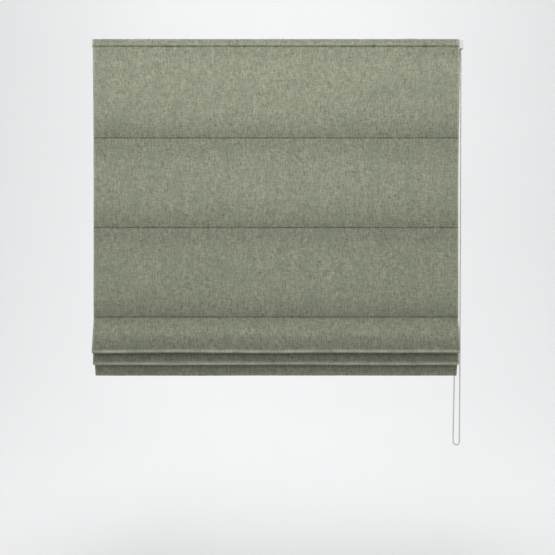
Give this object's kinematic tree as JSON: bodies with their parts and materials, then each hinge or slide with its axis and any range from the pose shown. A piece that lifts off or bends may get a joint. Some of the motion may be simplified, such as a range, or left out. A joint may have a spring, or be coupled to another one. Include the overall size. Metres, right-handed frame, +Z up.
{
  "type": "roman blind",
  "caption": "Partly raised roman blind of woven cloth with stitched rods, soft stacked folds, a clip-in headrail and a metal bead-chain drive.",
  "frame": {"origin": "middle of the centre bracket's top face, which is screwed to the ceiling or lintel", "axes": "+X to the right seen from the room, -Y towards the room, +Z up"},
  "size_m": [1.1102, 0.0722, 1.2212],
  "materials": {
    "rail": "satin",
    "bar": "satin",
    "white_plastic": "satin",
    "clear_plastic": "satin",
    "tip_plastic": "satin",
    "ring_plastic": "gloss",
    "bracket_steel": "satin",
    "catch_steel": "satin",
    "plated_steel": "satin",
    "rod_fibre": "satin",
    "hook_tape": "matte",
    "loop_tape": "matte",
    "face_cloth": "matte",
    "lining_cloth": "matte",
    "lift_cord": "matte",
    "chain_metal": "polished"
  },
  "bodies": {
    "root": {"headrail": "rail", "end_cap_left": "white_plastic", "drive_housing": "white_plastic", "drive_cover": "white_plastic", "cover_screws": "plated_steel", "clutch_core": "plated_steel", "catch_rivets": "plated_steel", "hook_tape": "hook_tape", "loop_tape": "loop_tape", "face_fabric": "face_cloth", "lining": "lining_cloth", "bead_chain": "chain_metal", "bead_chain_on_wheel": "chain_metal", "chain_connector": "chain_metal", "bracket_left": "bracket_steel", "bracket_centre": "bracket_steel", "bracket_right": "bracket_steel", "spool_cradle_1": "clear_plastic", "spool_cradle_2": "clear_plastic", "spool_cradle_3": "clear_plastic", "spool_cradle_4": "clear_plastic", "lift_cord_1": "lift_cord", "lift_cord_2": "lift_cord", "lift_cord_3": "lift_cord", "lift_cord_4": "lift_cord"},
    "drive": {"chain_wheel": "clear_plastic", "clutch_springs": "plated_steel", "output_hub": "clear_plastic", "drive_shaft": "plated_steel", "shaft_bush": "clear_plastic", "shaft_collars": "plated_steel", "cord_windings": "lift_cord", "spool_1": "clear_plastic", "spool_2": "clear_plastic", "spool_3": "clear_plastic", "spool_4": "clear_plastic"},
    "rod_1_body": {"rod_1": "rod_fibre", "rod_tips_1": "tip_plastic", "cord_rings_1": "ring_plastic"},
    "rod_2_body": {"rod_2": "rod_fibre", "rod_tips_2": "tip_plastic", "cord_rings_2": "ring_plastic"},
    "rod_3_body": {"rod_3": "rod_fibre", "rod_tips_3": "tip_plastic", "cord_rings_3": "ring_plastic"},
    "rod_4_body": {"rod_4": "rod_fibre", "rod_tips_4": "tip_plastic", "cord_rings_4": "ring_plastic"},
    "rod_5_body": {"rod_5": "rod_fibre", "rod_tips_5": "tip_plastic", "cord_rings_5": "ring_plastic", "cord_anchors": "ring_plastic", "bottom_bar": "bar", "bottom_bar_caps": "tip_plastic"},
    "catch_left_body": {"catch_left": "catch_steel"},
    "catch_centre_body": {"catch_centre": "catch_steel"},
    "catch_right_body": {"catch_right": "catch_steel"}
  },
  "joints": [
    {"name": "lift_rod_1", "type": "slide", "parent": "root", "child": "rod_1_body", "axis": [0, 0, 1], "range_m": [0, 0.2555], "deforming": ["face_fabric", "lining", "lift_cord_1", "lift_cord_2", "lift_cord_3", "lift_cord_4"]},
    {"name": "lift_rod_2", "type": "slide", "parent": "rod_1_body", "child": "rod_2_body", "axis": [0, 0, 1], "range_m": [0, 0.2555]},
    {"name": "lift_rod_3", "type": "slide", "parent": "rod_2_body", "child": "rod_3_body", "axis": [0, 0, 1], "range_m": [0, 0.2555]},
    {"name": "lift_rod_4", "type": "slide", "parent": "rod_3_body", "child": "rod_4_body", "axis": [0, 0, 1], "range_m": [-0.185, 0], "deforming": ["face_fabric", "lining", "lift_cord_1", "lift_cord_2", "lift_cord_3", "lift_cord_4"]},
    {"name": "lift_rod_5", "type": "slide", "parent": "rod_4_body", "child": "rod_5_body", "axis": [0, 0, 1], "range_m": [-0.2165, 0]},
    {"name": "drive_turn", "type": "hinge", "parent": "root", "child": "drive", "pos_m": [0, 0, -0.016], "axis": [1, 0, 0], "range_deg": [0, 5582]},
    {"name": "release_left", "type": "hinge", "parent": "root", "child": "catch_left_body", "pos_m": [-0.4, 0, -0.004], "axis": [0, 0, 1], "range_deg": [0, 90]},
    {"name": "release_centre", "type": "hinge", "parent": "root", "child": "catch_centre_body", "pos_m": [0, 0, -0.004], "axis": [0, 0, 1], "range_deg": [0, 90]},
    {"name": "release_right", "type": "hinge", "parent": "root", "child": "catch_right_body", "pos_m": [0.4, 0, -0.004], "axis": [0, 0, 1], "range_deg": [0, 90]}
  ],
  "couplings": [
    {"joint": "lift_rod_2", "follows": "lift_rod_1", "ratio": 1},
    {"joint": "lift_rod_3", "follows": "lift_rod_1", "ratio": 1},
    {"joint": "drive_turn", "follows": "lift_rod_1", "rad_per_m": 381.2},
    {"joint": "lift_rod_5", "follows": "lift_rod_4", "ratio": 1.16}
  ]
}
